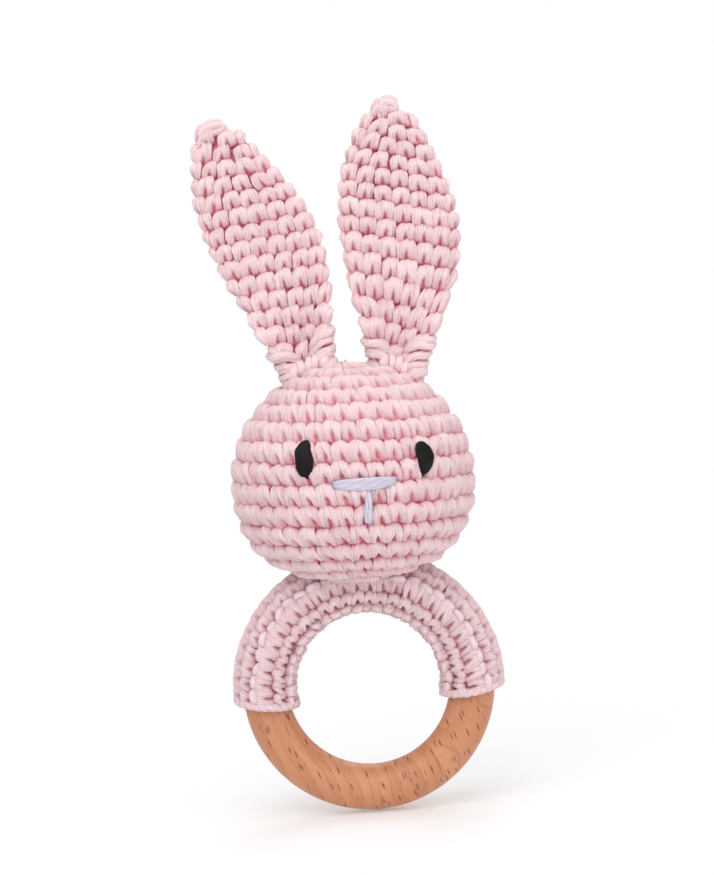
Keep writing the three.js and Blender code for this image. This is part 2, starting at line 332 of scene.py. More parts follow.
def lay_fans(patch, surface, u0, v0, width, height, slant, wander, proud=1.0, ribbed=1.0, opened=1.0):
    """Lays the front of a single crochet in each cell, as plies that fan down and part into two legs.

    surface(u, v) returns points, outward normals and the length of one unit of u. u0, v0, width and height
    are (n,): a cell's middle and size in u and v. slant leans the stitch, in cell widths per cell height.
    wander scales its unevenness, proud its height, ribbed how far its plies stand out, and opened how far its
    legs part."""
    n, rows, columns = len(u0), len(FAN), 3 * PLIES + 1

    def vary(amount, *shape):
        return wander * RNG.normal(0, amount, (n, *shape))

    def each_ply(amount, steps=1):
        jitter = vary(amount, steps, PLIES)
        if steps > 1:
            jitter[:, 1:-1] = (jitter[:, :-2] + jitter[:, 1:-1] + jitter[:, 2:]) / 1.7
        return np.concatenate([np.repeat(jitter, 3, axis=2), jitter[:, :, -1:]], axis=2)

    # f runs from -1 to 1 over the middles of the plies. The two legs part at f = 0.
    place = np.arange(columns) / 3
    f = (place - PLIES / 2) / (PLIES / 2 - 0.5)
    middle = np.abs(f) < 0.01
    ridge = np.abs(np.sin(math.pi * place)) ** 0.6
    crease = (np.arange(columns) % 3 == 0).astype(float)
    up, lift, gathered, parted = (FAN[:, i][:, None] for i in range(4))
    parted = parted * opened
    leg = np.sign(f) * np.where(middle, 0, 0.35 + (np.abs(f) - 0.6) * 0.32)
    x = (0.46 - 0.05 * gathered) * f * (1 - parted) + leg * parted
    y = up - 0.09 * f ** 2 * gathered
    z = lift - 0.15 * np.abs(f) ** 3 * (1 - parted) - 0.35 * ((np.abs(f) - 0.6) / 0.6) ** 2 * parted
    z = z - 2.6 * parted ** 1.5 * middle - 0.1 * (np.abs(f) > 1.1)

    size = 1 + vary(0.03, 1, 1)
    x = x * size + each_ply(0.012, rows) + vary(0.012, 1, 1) - (slant + vary(0.05, 1, 1)) * y
    y = y * size + each_ply(0.014) * np.maximum(0, up) * 2.5 + vary(0.025, 1, 1) + vary(0.05, 1, 1) * x
    relief = ribbed * PLY_RELIEF * (1 + each_ply(0.25)) * (ridge - 0.8)
    uneven = ribbed * (each_ply(0.05) + each_ply(0.07, rows))
    z = np.maximum(z + relief + uneven + vary(0.08, 1, 1), -1.1) * MM * proud

    u0, v0, width, height = (values[:, None, None] for values in (u0, v0, width, height))
    points, normals, unit_u = surface(u0 + x * width, v0 + y * height)
    verts = points + normals * z[..., None]
    centre = (slice(None), rows // 2, columns // 2)
    back = (points[centre] - normals[centre] * 0.8 * MM)[:, None]
    across, along = x * (unit_u * width) / MM, -y * height / MM
    shade = RNG.random((n, 1, 1))
    strand = stacked(across, shade, along).reshape(n, -1, 3)
    tone = stacked(z / MM, shade, crease).reshape(n, -1, 3)
    verts = np.concatenate([verts.reshape(n, -1, 3), back], axis=1)
    strand = np.concatenate([strand, strand[:, :1]], axis=1)
    # Painted shade: the back vertex counts as 0.8 mm below the cloth, so the yarn material gives it its dark
    # crevice colours.
    tone = np.concatenate([tone, tone[:, :1] * (0, 1, 0) - (0.8, 0, 0)], axis=1)
    patch.add(verts, bowl_faces(rows, columns), strand, tone)


def lay_bars(patch, surface, u0, v0, width, height, wander):
    """Lays a bar of yarn across the upper part of each cell, as on the back of a single crochet."""
    n = len(u0)
    t = np.linspace(-1, 1, 11)
    across, up, lift, half_width, half_depth = (through(np.abs(t), BAR[:, 0], values) for values in BAR.T[1:])
    across = np.sign(t) * across

    def vary(amount):
        return wander * RNG.normal(0, amount, (n, 1))

    size = 1 + vary(0.04)
    x = across * size + vary(0.03)
    y = up + vary(0.03) + vary(0.06) * across
    u0, v0, width, height = (values[:, None] for values in (u0, v0, width, height))
    points, normals, unit_u = surface(u0 + x * width, v0 + y * height)
    z = (lift + vary(0.06)) * YARN_R
    half_width, half_depth = half_width * (unit_u * width) * size, half_depth * YARN_R * size
    add_strands(patch, points + normals * z[..., None], normals, half_width, half_depth, z, RNG.random(n))


def spiral(girth, start, stop, row_height, skew=0.0):
    """Cells of a piece worked in one spiral that descends towards +u, from v = start to stop. girth and
    row_height are functions of v. Returns each cell's u, v, width and height."""
    u, v, cells = 0.5, start, []
    while v > stop:
        count = max(FEWEST_STITCHES, round(girth(v) / STITCH_WIDTH))
        tall = row_height(v)
        cells.append((u, v - skew * tall * math.sin(2 * math.pi * u), 1 / count, tall))
        u += 1 / count
        v -= tall / count
    return [np.array(column) for column in zip(*cells)]


# ---- Surfaces ----

def bar_top(x, y, radius):
    """Height of the upper side of a bar of this radius around the ring."""
    reach = BAR_CENTRE_R + np.sqrt(np.maximum(radius ** 2 - y ** 2, 0))
    return RING_CENTRE[2] + np.sqrt(np.maximum(reach ** 2 - x ** 2, 0))


def seat_on_sleeve(points):
    """Lifts points out of the sleeve, as the head's underside is dented where it is sewn on."""
    radius = SLEEVE_R + SEAT_CLEARANCE
    x, y, z = points[..., 0], points[..., 1], points[..., 2]
    inside = smooth_step(radius - np.abs(y), 0, 0.35 * radius)
    seat = bar_top(x, y, radius)
    lifted = 0.5 * (z + seat + np.sqrt((z - seat) ** 2 + SEAT_SOFTNESS ** 2))
    out = points.copy()
    out[..., 2] = z + (lifted - z) * inside
    return out


class HeadSurface:
    """The head's cloth. u is turns from the front towards +X, and v is the distance up from its foot."""

    BELOW_POWER = 2 / 2.4    # squares the head's lower half a little
    BEYOND = 60              # samples of the profile that are repeated beyond each pole

    def __init__(self):
        a = np.linspace(-math.pi / 2, math.pi / 2, 721)
        below = a < 0
        level, rise = np.abs(np.cos(a)), np.abs(np.sin(a))
        radius = (HEAD_R - YARN_PROUD) * np.where(below, level ** self.BELOW_POWER, level)
        bottom, top = HEAD_BOTTOM - YARN_PROUD, HEAD_TOP - YARN_PROUD
        z = np.where(below, -bottom * rise ** self.BELOW_POWER, top * rise)
        s = np.concatenate([[0], np.cumsum(np.hypot(np.diff(radius), np.diff(z)))])
        self.length = s[-1]
        start, end = slice(self.BEYOND, 0, -1), slice(-2, -2 - self.BEYOND, -1)
        self.s = np.concatenate([-s[start], s, 2 * self.length - s[end]])
        self.r = np.concatenate([-radius[start], radius, -radius[end]])
        self.z = np.concatenate([z[start], z, z[end]])

    def __call__(self, u, v):
        step = 0.15 * MM
        radius, z = self.profile(v)
        dr, dz = self.profile(v + step) - self.profile(v - step)
        angle = 2 * math.pi * u
        sin, cos = np.sin(angle), np.cos(angle)
        points = stacked(radius * sin, -radius * cos, z + HEAD_Z)
        right = stacked(cos, sin, 0.0)
        upward = unit(stacked(dr * sin, -dr * cos, dz))
        across = seat_on_sleeve(points + right * step) - seat_on_sleeve(points - right * step)
        along = seat_on_sleeve(points + upward * step) - seat_on_sleeve(points - upward * step)
        return seat_on_sleeve(points), unit(np.cross(across, along)), self.girth(v)

    def profile(self, v):
        """Radius and height at v."""
        return np.array([np.interp(v, self.s, self.r), np.interp(v, self.s, self.z)])

    def girth(self, v):
        return np.abs(self.profile(v)[0]) * 2 * math.pi

    def v_at_height(self, height):
        """v where the cloth is at this height above the head's widest row."""
        inner = slice(self.BEYOND, len(self.s) - self.BEYOND)
        return np.interp(height, self.z[inner], self.s[inner])


class SleeveSurface:
    """The sleeve's cloth. u runs from 0 to 1 along the arc from the toy's left, and v is the distance round
    the tube, from the inner side over the front to the outer side and the back."""

    END_INSET = math.radians(1.2)
    END_SLANT = math.radians(4.0)    # the sleeve reaches further round on its inner side

    def __init__(self):
        self.radius = SLEEVE_R - SLEEVE_YARN_PROUD
        self.round = 2 * math.pi * self.radius

    def __call__(self, u, v):
        tube = math.pi - v / self.radius
        half_arc = SLEEVE_HALF_ARC - self.END_INSET - self.END_SLANT * np.cos(tube)
        turn = (2 * u - 1) * half_arc
        out = stacked(np.sin(turn), 0.0, np.cos(turn))
        front = np.array([0, -1.0, 0])
        normals = out * np.cos(tube)[..., None] + front * np.sin(tube)[..., None]
        points = RING_CENTRE + out * BAR_CENTRE_R + normals * self.radius
        reach = BAR_CENTRE_R + self.radius * np.cos(tube)
        return points, normals, reach * 2 * half_arc


class EarSurface:
    """An ear's cloth. u is turns round the flattened tube from the middle of the front towards +X, and v is
    the distance up from its root. Its base is folded forwards into a trough. blunt rounds its tip."""

    BELOW = 3.3 * MM         # the root lies this far below the joints
    BASE_HALF_WIDTH = 6.6 * MM
    TROUGH = 5.2 * MM
    FOLD = 0.965             # how sharply the tube turns at its two edges

    def __init__(self, side, length, half_width, blunt):
        joint = JOINTS[f"ear_{side}_flop"]
        self.side, self.length, self.half_width, self.blunt = side, length, half_width, blunt
        self.pivot = np.array(joint["pos_m"])
        axis = np.array(joint["axis"])
        self.lean = -math.atan2(axis[2], axis[0])

    def width_at(self, t):
        """Half the ear's width at a share of its length."""
        base = self.BASE_HALF_WIDTH
        low = base + (self.half_width - base) * np.sin(math.pi / 2 * np.clip(t / 0.5, 0, 1)) ** 1.2
        s = np.clip((t - 0.5) / 0.5, 0, 1)
        high = self.half_width * (1 - s ** 2) ** (0.75 - self.blunt * smooth_step(s, 0.6, 0.9))
        return np.where(t < 0.5, low, high)

    def girth(self, v):
        return 4 * max(float(self.width_at(v / self.length)) - YARN_PROUD, 1.0 * MM) + 4 * MM

    def placed(self, local):
        """Points given from the joints, with z up along the ear."""
        return turned_about_y(local, self.lean) + self.pivot

    def place(self, u, v):
        v = v - 0.8 * np.maximum(0, v - self.length + 1.2 * MM)
        t = v / self.length
        angle = 2 * math.pi * u
        x = np.arcsin(self.FOLD * np.sin(angle)) / math.asin(self.FOLD)
        depth = np.sign(np.cos(angle)) * np.sqrt(np.maximum(1 - np.abs(x) ** 3, 0))
        half = np.maximum(self.width_at(t) - YARN_PROUD, 1.3 * MM)
        thick = np.interp(t, [0, 0.12, 0.8, 1], [2.0, 1.35, 1.3, 0.9]) * MM
        trough = self.TROUGH * (1 - smooth_step(t, 0.0, 0.36)) + 0.9 * MM
        bow = 2 * MM * np.sin(math.pi * np.clip(t / 0.75, 0, 1))
        y = -depth * thick - trough * (x ** 2) * np.minimum(1, half / (8 * MM)) ** 2
        y = y + 0.35 * trough
        return self.placed(stacked(x * half + bow, y, v - self.BELOW))

    def __call__(self, u, v):
        du, dv = 0.002, 0.1 * MM
        across = self.place(u + du, v) - self.place(u - du, v)
        along = self.place(u, v + dv) - self.place(u, v - dv)
        normals = unit(np.cross(across, along))
        return self.place(u, v), normals, np.linalg.norm(across, axis=-1) / (2 * du)


# ---- Materials ----

WHITE = (1, 1, 1, 1)


def linear(r, g, b):
    """A colour given as 0-255 display values, as linear RGBA."""
    def channel(c):
        c = c / 255
        return c / 12.92 if c <= 0.04045 else ((c + 0.055) / 1.055) ** 2.4
    return (channel(r), channel(g), channel(b), 1.0)


def mix_colours(a, b, t):
    return tuple(x + (y - x) * t for x, y in zip(a, b))


class Nodes:
    """A short way to write the node tree of a new material or world."""

    def __init__(self, name, kind="materials"):
        self.owner = getattr(bpy.data, kind).new(name)
        self.owner.use_nodes = True
        self.tree = self.owner.node_tree
        self.tree.nodes.clear()

    def add(self, kind, inputs=None, **settings):
        node = self.tree.nodes.new(kind)
        for key, value in settings.items():
            setattr(node, key, value)
        for key, value in (inputs or {}).items():
            if isinstance(value, bpy.types.NodeSocket):
                self.tree.links.new(value, node.inputs[key])
            else:
                node.inputs[key].default_value = value
        return node

    def math(self, operation, a, b=0.0, c=0.0, clamp=False):
        node = self.add("ShaderNodeMath", {0: a, 1: b, 2: c}, operation=operation, use_clamp=clamp)
        return node.outputs[0]

    def times(self, a, b, clamp=False):
        return self.math("MULTIPLY", a, b, clamp=clamp)

    def scaled(self, a, factor, offset, clamp=False):
        return self.math("MULTIPLY_ADD", a, factor, offset, clamp)

    def length(self, *parts):
        """The length of a vector."""
        total = self.times(parts[-1], parts[-1])
        for part in parts[-2::-1]:
            total = self.math("ADD", self.times(part, part), total)
        return self.math("SQRT", total)

    def split(self, vector):
        return self.add("ShaderNodeSeparateXYZ", {0: vector}).outputs[:3]

    def join(self, x, y, z):
        return self.add("ShaderNodeCombineXYZ", {0: x, 1: y, 2: z}).outputs[0]

    def attribute(self, name):
        return self.split(self.add("ShaderNodeAttribute", attribute_name=name).outputs["Vector"])

    def position(self):
        return self.add("ShaderNodeTexCoord").outputs["Object"]

    def ramp(self, factor, stops):
        node = self.add("ShaderNodeValToRGB", {0: factor})
        elements = node.color_ramp.elements
        while len(elements) < len(stops):
            elements.new(0.5)
        for element, (place, colour) in zip(elements, stops):
            element.position = place
            element.color = colour
        return node.outputs[0]

    def mix(self, factor, a, b):
        return self.add("ShaderNodeMix", {0: factor, 6: a, 7: b}, data_type="RGBA").outputs[2]

    def noise(self, vector, scale, detail=2.0, roughness=0.5):
        inputs = {"Vector": vector, "Scale": scale, "Detail": detail, "Roughness": roughness}
        return self.add("ShaderNodeTexNoise", inputs).outputs[0]

    def finish(self, colour, roughness, height, strength, distance, others=None):
        """Ends in a bumped shader. others holds more of the shader's inputs."""
        bump = self.add("ShaderNodeBump", {"Height": height, "Strength": strength, "Distance": distance})
        inputs = {"Base Color": colour, "Roughness": roughness, "Normal": bump.outputs[0]}
        shader = self.add("ShaderNodeBsdfPrincipled", {**inputs, **(others or {})})
        self.add("ShaderNodeOutputMaterial", {0: shader.outputs[0]})
        return self.owner


def yarn_material(name, pit_shade, deep, mid, light):
    """Plied cotton yarn. Its colour is set by height above the cloth: painted shade, from pit_shade and deep,
    low in the crevices, and a painted highlight, light, on the crowns. Its fibres and pale specks are in the
    bump, and its crevices get a faint painted glow, standing in for light that passes through the yarn."""
    n = Nodes(name)
    ca, sa, along = n.attribute("strand")
    lift, shade, crease = n.attribute("tone")
    place = n.position()
    mottle = n.noise(place, 300, 3)
    fuzz = n.noise(place, 3200, 2, 0.6)
    along = n.scaled(along, 0.35, n.times(shade, 60.0))
    streak = n.noise(n.join(n.times(ca, 4.2), n.times(sa, 4.2), along), 1.6, 5, 0.72)

    # Painted shade and painted highlight: the colour darkens towards pit_shade and deep where the yarn lies
    # low, and lightens towards light on the crowns.
    exposed = n.scaled(n.math("SUBTRACT", mottle, 0.5), 0.8, lift)
    depth = n.scaled(exposed, 0.36, 0.36, clamp=True)
    colour = n.ramp(depth, [(0.0, pit_shade), (0.2, deep), (0.36, mix_colours(deep, mid, 0.3)),
                            (0.52, mix_colours(deep, mid, 0.76)), (0.66, mid), (1.0, light)])
    lighter = n.scaled(shade, 0.16, n.times(mottle, 0.14), clamp=True)
    colour = n.mix(lighter, colour, light)
    # Painted shade: where ambient occlusion finds the yarn hemmed in, its colour is pulled towards deep.
    open_sky = n.add("ShaderNodeAmbientOcclusion", {"Distance": 2.2 * MM}, samples=8).outputs["AO"]
    crevice = n.scaled(open_sky, -1.7, 0.74, clamp=True)
    colour = n.mix(crevice, colour, deep)
    # Painted shade in the creases between plies, broken up by noise, together with darker streaks along the
    # fibres.
    broken = n.times(crease, n.scaled(n.noise(place, 1300, 1), 1.2, -0.25))
    crease_shade_and_streaks = n.scaled(broken, 0.45, n.scaled(streak, -2.0, 0.98), clamp=True)
    colour = n.mix(crease_shade_and_streaks, colour, mix_colours(deep, mid, 0.55))
    speck = n.scaled(n.noise(place, 1500, 4, 0.8), 3.6, -1.55, clamp=True)
    colour = n.mix(n.times(speck, 0.45), colour, linear(248, 228, 222))

    height = n.scaled(streak, 2.4, n.scaled(speck, 0.8, fuzz))
    # Painted glow: crevices and low yarn emit a faint deep pink, standing in for light that passes through
    # and bounces inside the yarn.
    hollow = n.math("MAXIMUM", crevice, n.scaled(depth, -2.2, 1.0, clamp=True))
    return n.finish(colour, 0.9, height, 0.6, 0.21 * MM, {
        "Sheen Weight": 0.25, "Sheen Roughness": 0.5, "Specular IOR Level": 0.2,
        "Emission Color": mix_colours(deep, pit_shade, 0.5), "Emission Strength": n.times(hollow, 0.16)})


def thread_material(name, dark, light, roughness, sheen, specular):
    """Smooth embroidery thread, seen as fine parallel strands."""
    n = Nodes(name)
    ca, sa, along = n.attribute("strand")
    _, shade, crease = n.attribute("tone")
    angle = n.math("ARCTAN2", sa, ca)
    filament = n.math("SINE", n.scaled(along, 0.5, n.times(angle, 7.0)))
    grain = n.noise(n.position(), 1800, 2)
    top = n.scaled(crease, 0.35, n.scaled(filament, 0.12, 0.35))
    top = n.scaled(shade, 0.2, top, clamp=True)
    height = n.scaled(filament, 0.6, grain)
    return n.finish(n.mix(top, dark, light), roughness, height, 0.4, 0.08 * MM, {
        "Sheen Weight": sheen, "Sheen Roughness": 0.4, "Specular IOR Level": specular})


def beech_material():
    """Oiled beech: an even orange tan, short dark pore flecks that all run one way, and thin growth arcs."""
    n = Nodes("beech")
    grain = math.radians(-71.4)
    arc_across, arc_along, arcs_per_metre = 0.031, -0.016, 210.0
    x, y, z = n.split(n.position())
    along = n.scaled(x, math.cos(grain), n.times(z, math.sin(grain)))
    across = n.scaled(x, -math.sin(grain), n.times(z, math.cos(grain)))

    def stretched(scale_along, scale_across, scale_deep):
        return n.join(n.times(along, scale_along), n.times(across, scale_across),
                      n.times(y, scale_deep))

    def flecks(scale_along, scale_across, fade, channel, rarity):
        """Strokes along the grain, in those cells whose random colour channel is above rarity."""
        vector = stretched(scale_along, scale_across, 160)
        cells = n.add("ShaderNodeTexVoronoi", {"Vector": vector, "Scale": 1.0})
        stroke = n.math("SUBTRACT", 1.0, n.times(cells.outputs["Distance"], fade), clamp=True)
        chosen = n.math("GREATER_THAN", n.split(cells.outputs["Color"])[channel], rarity)
        return n.times(stroke, chosen)

    fleck = n.math("MAXIMUM", n.times(flecks(250, 1450, 3.2, 0, 0.42), 2, clamp=True),
                   n.times(flecks(95, 900, 3.6, 1, 0.75), 0.8))
    fibres = n.noise(stretched(90, 2600, 2600), 1, 3)
    broad = n.noise(stretched(12, 90, 90), 1, 2)
    warp = n.times(n.noise(n.position(), 55, 2), 0.010)
    arc_x = n.math("ADD", n.math("SUBTRACT", across, arc_across), warp)
    arc_z = n.times(n.math("SUBTRACT", along, arc_along), 0.36)
    phase = n.math("FRACT", n.times(n.length(arc_x, arc_z, y), arcs_per_metre))
    from_arc = n.math("ABSOLUTE", n.math("SUBTRACT", phase, 0.5))
    arc = n.math("SUBTRACT", 1.0, n.times(from_arc, 15.0), clamp=True)

    colour = n.mix(broad, linear(181, 114, 71), linear(215, 155, 117))
    colour = n.mix(n.times(fibres, 0.6), colour, linear(172, 102, 64))
    colour = n.mix(n.times(phase, 0.35), colour, linear(216, 160, 124))
    colour = n.mix(n.times(arc, 0.42), colour, linear(168, 92, 62))
    colour = n.mix(n.times(fleck, 0.85), colour, linear(104, 54, 30))
    height = n.math("SUBTRACT", n.times(fibres, 0.15), fleck)
    roughness = n.scaled(fibres, 0.16, 0.36)
    return n.finish(colour, roughness, height, 0.18, 0.06 * MM, {
        "Coat Weight": 0.12, "Coat Roughness": 0.35, "Specular IOR Level": 0.45})


def fill_material():
    """White polyester fibre."""
    n = Nodes("fibre_fill")
    place = n.position()
    strands = n.noise(place, 900, 5, 0.7)
    clumps = n.noise(place, 120, 3)
    colour = n.mix(clumps, linear(238, 236, 230), linear(252, 251, 248))
    return n.finish(colour, 0.95, n.math("ADD", strands, clumps), 0.6, 0.4 * MM, {"Sheen Weight": 0.3})


def plastic_material(name, colour, roughness):
    """Moulded plastic with a faint orange-peel surface and slight scuffs."""
    n = Nodes(name)
    place = n.position()
    peel = n.noise(place, 700, 2)
    scuff = n.noise(place, 160, 4, 0.7)
    shade = n.mix(n.times(scuff, 0.25), colour, mix_colours(colour, WHITE, 0.35))
    return n.finish(shade, n.scaled(scuff, 0.2, roughness), peel, 0.1, 0.05 * MM)


# ---- Pieces ----

def dress(obj, material, node, body=None):
    """Gives a piece its material, hides the CAD node it stands for, and parents it to its body's empty if it
    has a body.
    """
    obj.data.materials.append(material)
    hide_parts(node)
    if body:
        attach(obj, body)
    return obj


def turned_ring(material):
    """The wooden ring as a smooth lathe-turned bar."""
    rounds, sides = 192, 56
    a = np.linspace(0, 2 * math.pi, rounds, endpoint=False)[:, None]
    b = np.linspace(0, 2 * math.pi, sides, endpoint=False)[None, :]
    reach = BAR_CENTRE_R + BAR_R * np.cos(b)
    points = stacked(reach * np.sin(a), BAR_R * np.sin(b), reach * np.cos(a))
    grid = np.arange(rounds * sides).reshape(rounds, sides)
    quads = stacked(*(np.roll(grid, step, axis=(0, 1)) for step in ((0, 0), (-1, 0), (-1, -1), (0, -1))))
    points = points.reshape(-1, 3) + RING_CENTRE
    ring = mesh_object("turned_ring", points, quads.ravel(), np.full(grid.size, 4))
    return dress(ring, material, "wooden_ring", "ring")


def head_crochet(surface, material):
    patch = Patch()
    cells = spiral(surface.girth, surface.length - 2.2 * MM, 0.6 * MM, lambda v: ROW_HEIGHT)
    lay_fans(patch, surface, *cells, slant=0.22, wander=1.3)
    u = np.linspace(0, 1, 96, endpoint=False)
    v = np.linspace(0.3 * MM, surface.length - 0.3 * MM, 60)
    add_liner(patch, surface, *np.meshgrid(u, v), 0.75 * MM)
    return dress(patch.build("head_crochet"), material, "head_shell", "head")


def sleeve_crochet(surface, material):
    """Ten rows along the ring, in pairs of a lower row that shows its front and a taller one that shows its
    back, which has bars. Every second pair is shifted a quarter stitch. The sixth row lies smooth."""
    patch = Patch()
    columns, shift = 26, 0.25
    front_row, back_row = 0.413, 0.587
    pair = surface.round / 5
    v = -0.069 * surface.round
    for row in range(10):
        back, smooth = row % 2, row == 5
        tall = (back_row if back else front_row) * pair
        u0 = (np.arange(columns) + 0.5 + shift * (row // 2 % 2)) / (columns + shift)
        middle, high = np.full(columns, v + tall / 2), np.full(columns, tall)
        wide = np.full(columns, 1 / (columns + shift))
        lay_fans(patch, surface, u0, middle, wide, high, slant=0.1 if back else -0.1,
                 wander=0.6 if smooth else 1.6, proud=0.95, ribbed=0.2 if smooth else 0.75)
        if back and not smooth:
            lay_bars(patch, surface, u0, middle, wide, high, wander=1.8)
        v += tall
    liner = np.meshgrid(np.linspace(0.002, 0.998, 90), np.linspace(0, surface.round, 49)[:-1], indexing="ij")
    add_liner(patch, surface, *liner, 0.7 * MM)

    # Two strands are wound round each other along each end.
    waves = 13
    v = np.linspace(0, surface.round, 120)
    for end, direction in ((0.0, 1), (1.0, -1)):
        for strand in range(2):
            wave = v / surface.round * 2 * math.pi * waves + strand * math.pi
            lift = (0.35 + 0.35 * np.cos(wave)) * YARN_R
            u = end + direction * (0.004 + 0.0035 * np.sin(wave))
            lay_strand(patch, surface, u, v, 0.8 * YARN_R, lift, 0.6)
    return dress(patch.build("sleeve_crochet"), material, "ring_sleeve", "sleeve")


def blend_along_ear(piece, surface, start, end):
    """Bakes a piece's placement into its mesh. start and end, in mm above an ear's joints, are made into
    points that nothing uses.
    """
    axis = turned_about_y(np.array([0, 0, 1.0]), surface.lean)
    start, end = (tuple(surface.pivot + axis * place * MM) for place in (start, end))
    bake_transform(piece)


def ear_crochet(surface, row_heights, slant, tip_reach, material):
    """An ear. row_heights are in mm, at seven places from its root to its tip."""
    side, length = surface.side, surface.length
    patch = Patch()

    def row_height(v):
        return float(np.interp(v / length, (0, 0.12, 0.25, 0.38, 0.5, 0.9, 1), row_heights)) * MM

    cells = spiral(surface.girth, length - 3.0 * MM, -5.0 * MM, row_height, skew=0.3)
    lay_fans(patch, surface, *cells, slant=slant, wander=1.3, opened=0.7)
    u = np.linspace(0, 1, 64, endpoint=False)
    v = np.linspace(-6.0 * MM, length - 2.2 * MM, 64)
    add_liner(patch, surface, *np.meshgrid(u, v), 1.0 * MM)
    lay_tip(patch, surface, tip_reach)
    lay_gathers(patch, surface)
    ear = dress(patch.build(f"ear_{side}_crochet"), material, f"ear_{side}")
    blend_along_ear(ear, surface, -1.5, 11)


def lay_tip(patch, surface, reach):
    """Strands drawn over the tip of an ear, where its first round is pulled shut."""
    t = np.linspace(-1, 1, 25)
    for depth, height, size in ((-1.25, -2.3, 0.9), (0.0, -1.3, 0.75), (1.3, -2.4, 0.9), (-0.9, -3.6, 1.0)):
        x = np.sin(t * math.pi / 2) * reach * size
        sag = 2.4 * MM * (1 - np.sqrt(np.maximum(1 - t ** 2, 0)))
        z = surface.length - surface.BELOW + height * MM - sag
        path = surface.placed(stacked(x, depth * MM, z))
        out = stacked(t * 0.7, 0.35 * depth, 1.0)
        radius = 1.0 * MM * (1 - 0.35 * np.abs(t) ** 4)
        add_strand(patch, path, unit(turned_about_y(out, surface.lean)), radius, 1.0 * MM, RNG.random())


def lay_gathers(patch, surface):
    """Strands over the two folds at an ear's base, drawn down and into the hollow between them."""
    t = np.linspace(0, 1, 17)
    for hand in (-1, 1):
        for i in range(6):
            u = hand * (0.35 - 0.31 * t) + RNG.normal(0, 0.008)
            v = (7.6 - 1.5 * i + RNG.normal(0, 0.35) - (4.4 + RNG.normal(0, 0.7)) * t ** 1.3) * MM
            arch = (2.0 + RNG.normal(0, 0.22)) * np.sin(math.pi * t ** 0.85) ** 0.7
            lift = (-0.5 + arch - 0.5 * t ** 3) * MM
            radius = (1.0 + RNG.normal(0, 0.1)) * MM * (1 - 0.4 * np.abs(2 * t - 1) ** 3)
            lay_strand(patch, surface, u, v, radius, lift, RNG.random())


def head_height(x, y):
    """Height of the head's upper surface above a place."""
    return HEAD_Z + HEAD_TOP * np.sqrt(np.maximum(1 - (x ** 2 + y ** 2) / HEAD_R ** 2, 0))


def ear_whips(surface, material):
    """Whip stitches that sew an ear's base to the head, five at its front and four at its back."""
    side = surface.side
    patch = Patch()
    levels = np.linspace(-6, 6, 121) * MM
    up = np.array([0, 0, 0.3])
    for middle, count, tall in ((0.0, 5, 2.0), (0.5, 4, 3.0)):
        for place in range(count):
            u = middle + (place / 4 - 0.5) * 0.36 + RNG.normal(0, 0.006)
            wall, normals, _ = surface(np.full(len(levels), u), levels)
            at = int(np.argmin(np.abs(wall[:, 2] - head_height(wall[:, 0], wall[:, 1]))))
            out = normals[at]
            foot = wall[at] + out * (0.6 + RNG.normal(0, 0.15)) * MM
            foot[2] = head_height(foot[0], foot[1]) - 1.3 * MM
            top_v = levels[at] + (tall + RNG.normal(0, 0.2)) * MM
            top, top_out, _ = surface(np.array([u + 0.035]), np.array([top_v]))
            top, top_out = top[0] + top_out[0] * 0.2 * MM, top_out[0]
            knee = (foot + top) / 2 + (out + top_out) * 0.62 * MM
            add_whip(patch, foot, knee, top, out + up, top_out + up, 1.1 * MM, (0.4, 1.0))
    whips = dress(patch.build(f"ear_{side}_whips"), material, f"ear_{side}_stitching")
    blend_along_ear(whips, surface, -5.5, -0.5)


def neck_whips(underside, material):
    """Whip stitches all round the place where the head sits on the sleeve."""
    patch = Patch()
    count, reach, seam_v = 16, 7.6 * MM, 11.5 * MM
    for i in range(count):
        turn = (i + 0.5) / count * 2 * math.pi + RNG.normal(0, 0.03)
        out = np.array([math.sin(turn), -math.cos(turn), 0])
        lean = np.array([math.cos(turn), math.sin(turn), 0])
        x, y = (out * reach)[:2]
        low = np.array([x, y, bar_top(x, y, SLEEVE_R) - 1.2 * MM]) - lean * 1.2 * MM
        top, _, _ = underside(np.array([turn / (2 * math.pi)]), np.array([seam_v]))
        top = top[0] + lean * 1.4 * MM + np.array([0, 0, 0.6]) * MM
        knee = (low + top) / 2 + out * 0.9 * MM
        facing = out + np.array([0, 0, 0.2])
        add_whip(patch, low, knee, top, facing, facing, 0.8 * MM, (0.2, 0.8))
    whips = dress(patch.build("neck_whips"), material, "neck_stitching")
    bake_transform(whips)


def seam_lacing(surface, material):
    """Diagonal lacing along the sleeve's back inner side, where the strip is sewn into a tube."""
    patch = Patch()
    count = 40
    seam_v = surface.radius * (math.pi + math.radians(135))
    t = np.linspace(-1, 1, 13)
    lift = (0.35 + 1.35 * np.sqrt(np.maximum(1 - t ** 2, 0))) * MM
    radius = 0.75 * MM * (1 - 0.3 * np.abs(t) ** 4)
    for i in range(count):
        u = (i + 0.5) / count + RNG.normal(0, 0.001) + t * 0.4 / count
        v = seam_v + t * (2.1 + RNG.normal(0, 0.1)) * MM
        lay_strand(patch, surface, u, v, radius, lift, RNG.random())
    dress(patch.build("seam_lacing"), material, "sleeve_seam", "sleeve")


